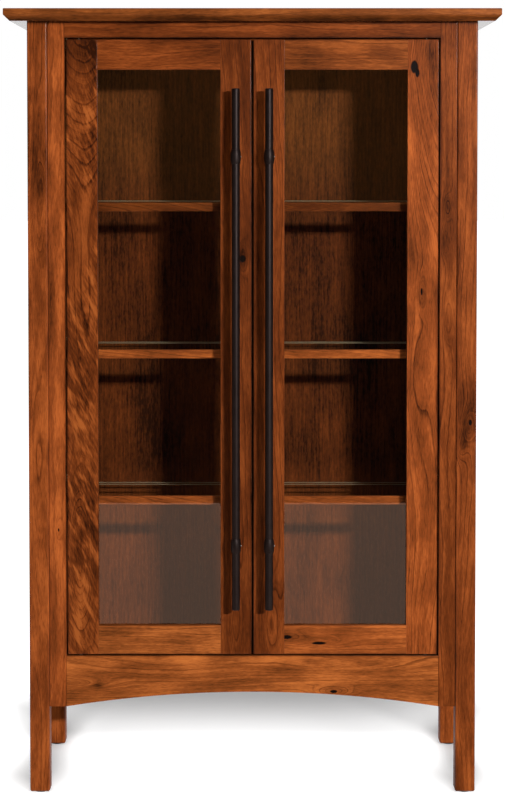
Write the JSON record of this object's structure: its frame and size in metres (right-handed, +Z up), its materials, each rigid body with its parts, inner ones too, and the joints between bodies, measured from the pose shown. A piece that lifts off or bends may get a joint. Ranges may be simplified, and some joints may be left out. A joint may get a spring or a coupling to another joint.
{
  "type": "display cabinet",
  "caption": "Tall free-standing wooden display cabinet on square legs, with glass doors on concealed pivots, long bar pulls, glass shelves and an arched apron.",
  "frame": {"origin": "on the floor, at the middle of the whole cabinet's width and depth", "axes": "+X to the right seen from the front, +Y to the back, +Z up"},
  "size_m": [1.046, 0.474, 1.676],
  "materials": {
    "cherry": "satin stained knotty cherry",
    "back_veneer": "satin stained veneer",
    "plain_hardwood": "unfinished",
    "clear_glass": "polished",
    "dark_bronze": "oil-rubbed dark bronze",
    "steel": "zinc plated",
    "bush_brass": "turned",
    "catch_plastic": "moulded",
    "glide_plastic": "moulded"
  },
  "bodies": {
    "case": {"top_panel": "cherry", "front_left_leg": "cherry", "front_right_leg": "cherry", "rear_left_leg": "cherry", "rear_right_leg": "cherry", "left_face_stile": "cherry", "right_face_stile": "cherry", "face_top_rail": "cherry", "arched_apron": "cherry", "left_side_top_rail": "cherry", "right_side_top_rail": "cherry", "left_side_bottom_rail": "cherry", "right_side_bottom_rail": "cherry", "left_side_panel": "cherry", "right_side_panel": "cherry", "bottom_deck": "cherry", "door_stop_rail": "cherry", "shelf_strips": "cherry", "back_top_rail": "cherry", "back_bottom_rail": "cherry", "back_panel": "back_veneer", "deck_cleats": "plain_hardwood", "top_fastener_blocks": "plain_hardwood", "case_screws": "steel", "back_panel_screws": "steel", "door_pivot_pins": "steel", "shelf_pins": "steel", "magnetic_catches": "catch_plastic", "floor_glides": "glide_plastic"},
    "left_door": {"left_door_hinge_stile": "cherry", "left_door_meeting_stile": "cherry", "left_door_top_rail": "cherry", "left_door_bottom_rail": "cherry", "left_door_glass": "clear_glass", "left_door_glass_stops": "cherry", "left_door_stop_brads": "steel", "left_door_pivot_bushes": "bush_brass", "left_door_strike_plate": "steel", "left_pull_bar": "dark_bronze", "left_pull_mounts": "dark_bronze", "left_pull_screws": "steel"},
    "right_door": {"right_door_hinge_stile": "cherry", "right_door_meeting_stile": "cherry", "right_door_top_rail": "cherry", "right_door_bottom_rail": "cherry", "right_door_glass": "clear_glass", "right_door_glass_stops": "cherry", "right_door_stop_brads": "steel", "right_door_pivot_bushes": "bush_brass", "right_door_strike_plate": "steel", "right_pull_bar": "dark_bronze", "right_pull_mounts": "dark_bronze", "right_pull_screws": "steel"},
    "upper_shelf": {"upper_shelf_glass": "clear_glass", "upper_shelf_nosing": "cherry"},
    "middle_shelf": {"middle_shelf_glass": "clear_glass", "middle_shelf_nosing": "cherry"},
    "lower_shelf": {"lower_shelf_glass": "clear_glass", "lower_shelf_nosing": "cherry"}
  },
  "joints": [
    {"name": "left_door_hinge", "type": "hinge", "parent": "case", "child": "left_door", "pos_m": [-0.369, -0.1665, 0.3], "axis": [0, 0, -1], "range_deg": [0, 110]},
    {"name": "right_door_hinge", "type": "hinge", "parent": "case", "child": "right_door", "pos_m": [0.369, -0.1665, 0.3], "axis": [0, 0, 1], "range_deg": [0, 110]},
    {"name": "upper_shelf_lift", "type": "slide", "parent": "case", "child": "upper_shelf", "axis": [0, 0, 1], "range_m": [0, 0.032]},
    {"name": "middle_shelf_lift", "type": "slide", "parent": "case", "child": "middle_shelf", "axis": [0, 0, 1], "range_m": [0, 0.032]},
    {"name": "lower_shelf_lift", "type": "slide", "parent": "case", "child": "lower_shelf", "axis": [0, 0, 1], "range_m": [0, 0.032]}
  ]
}
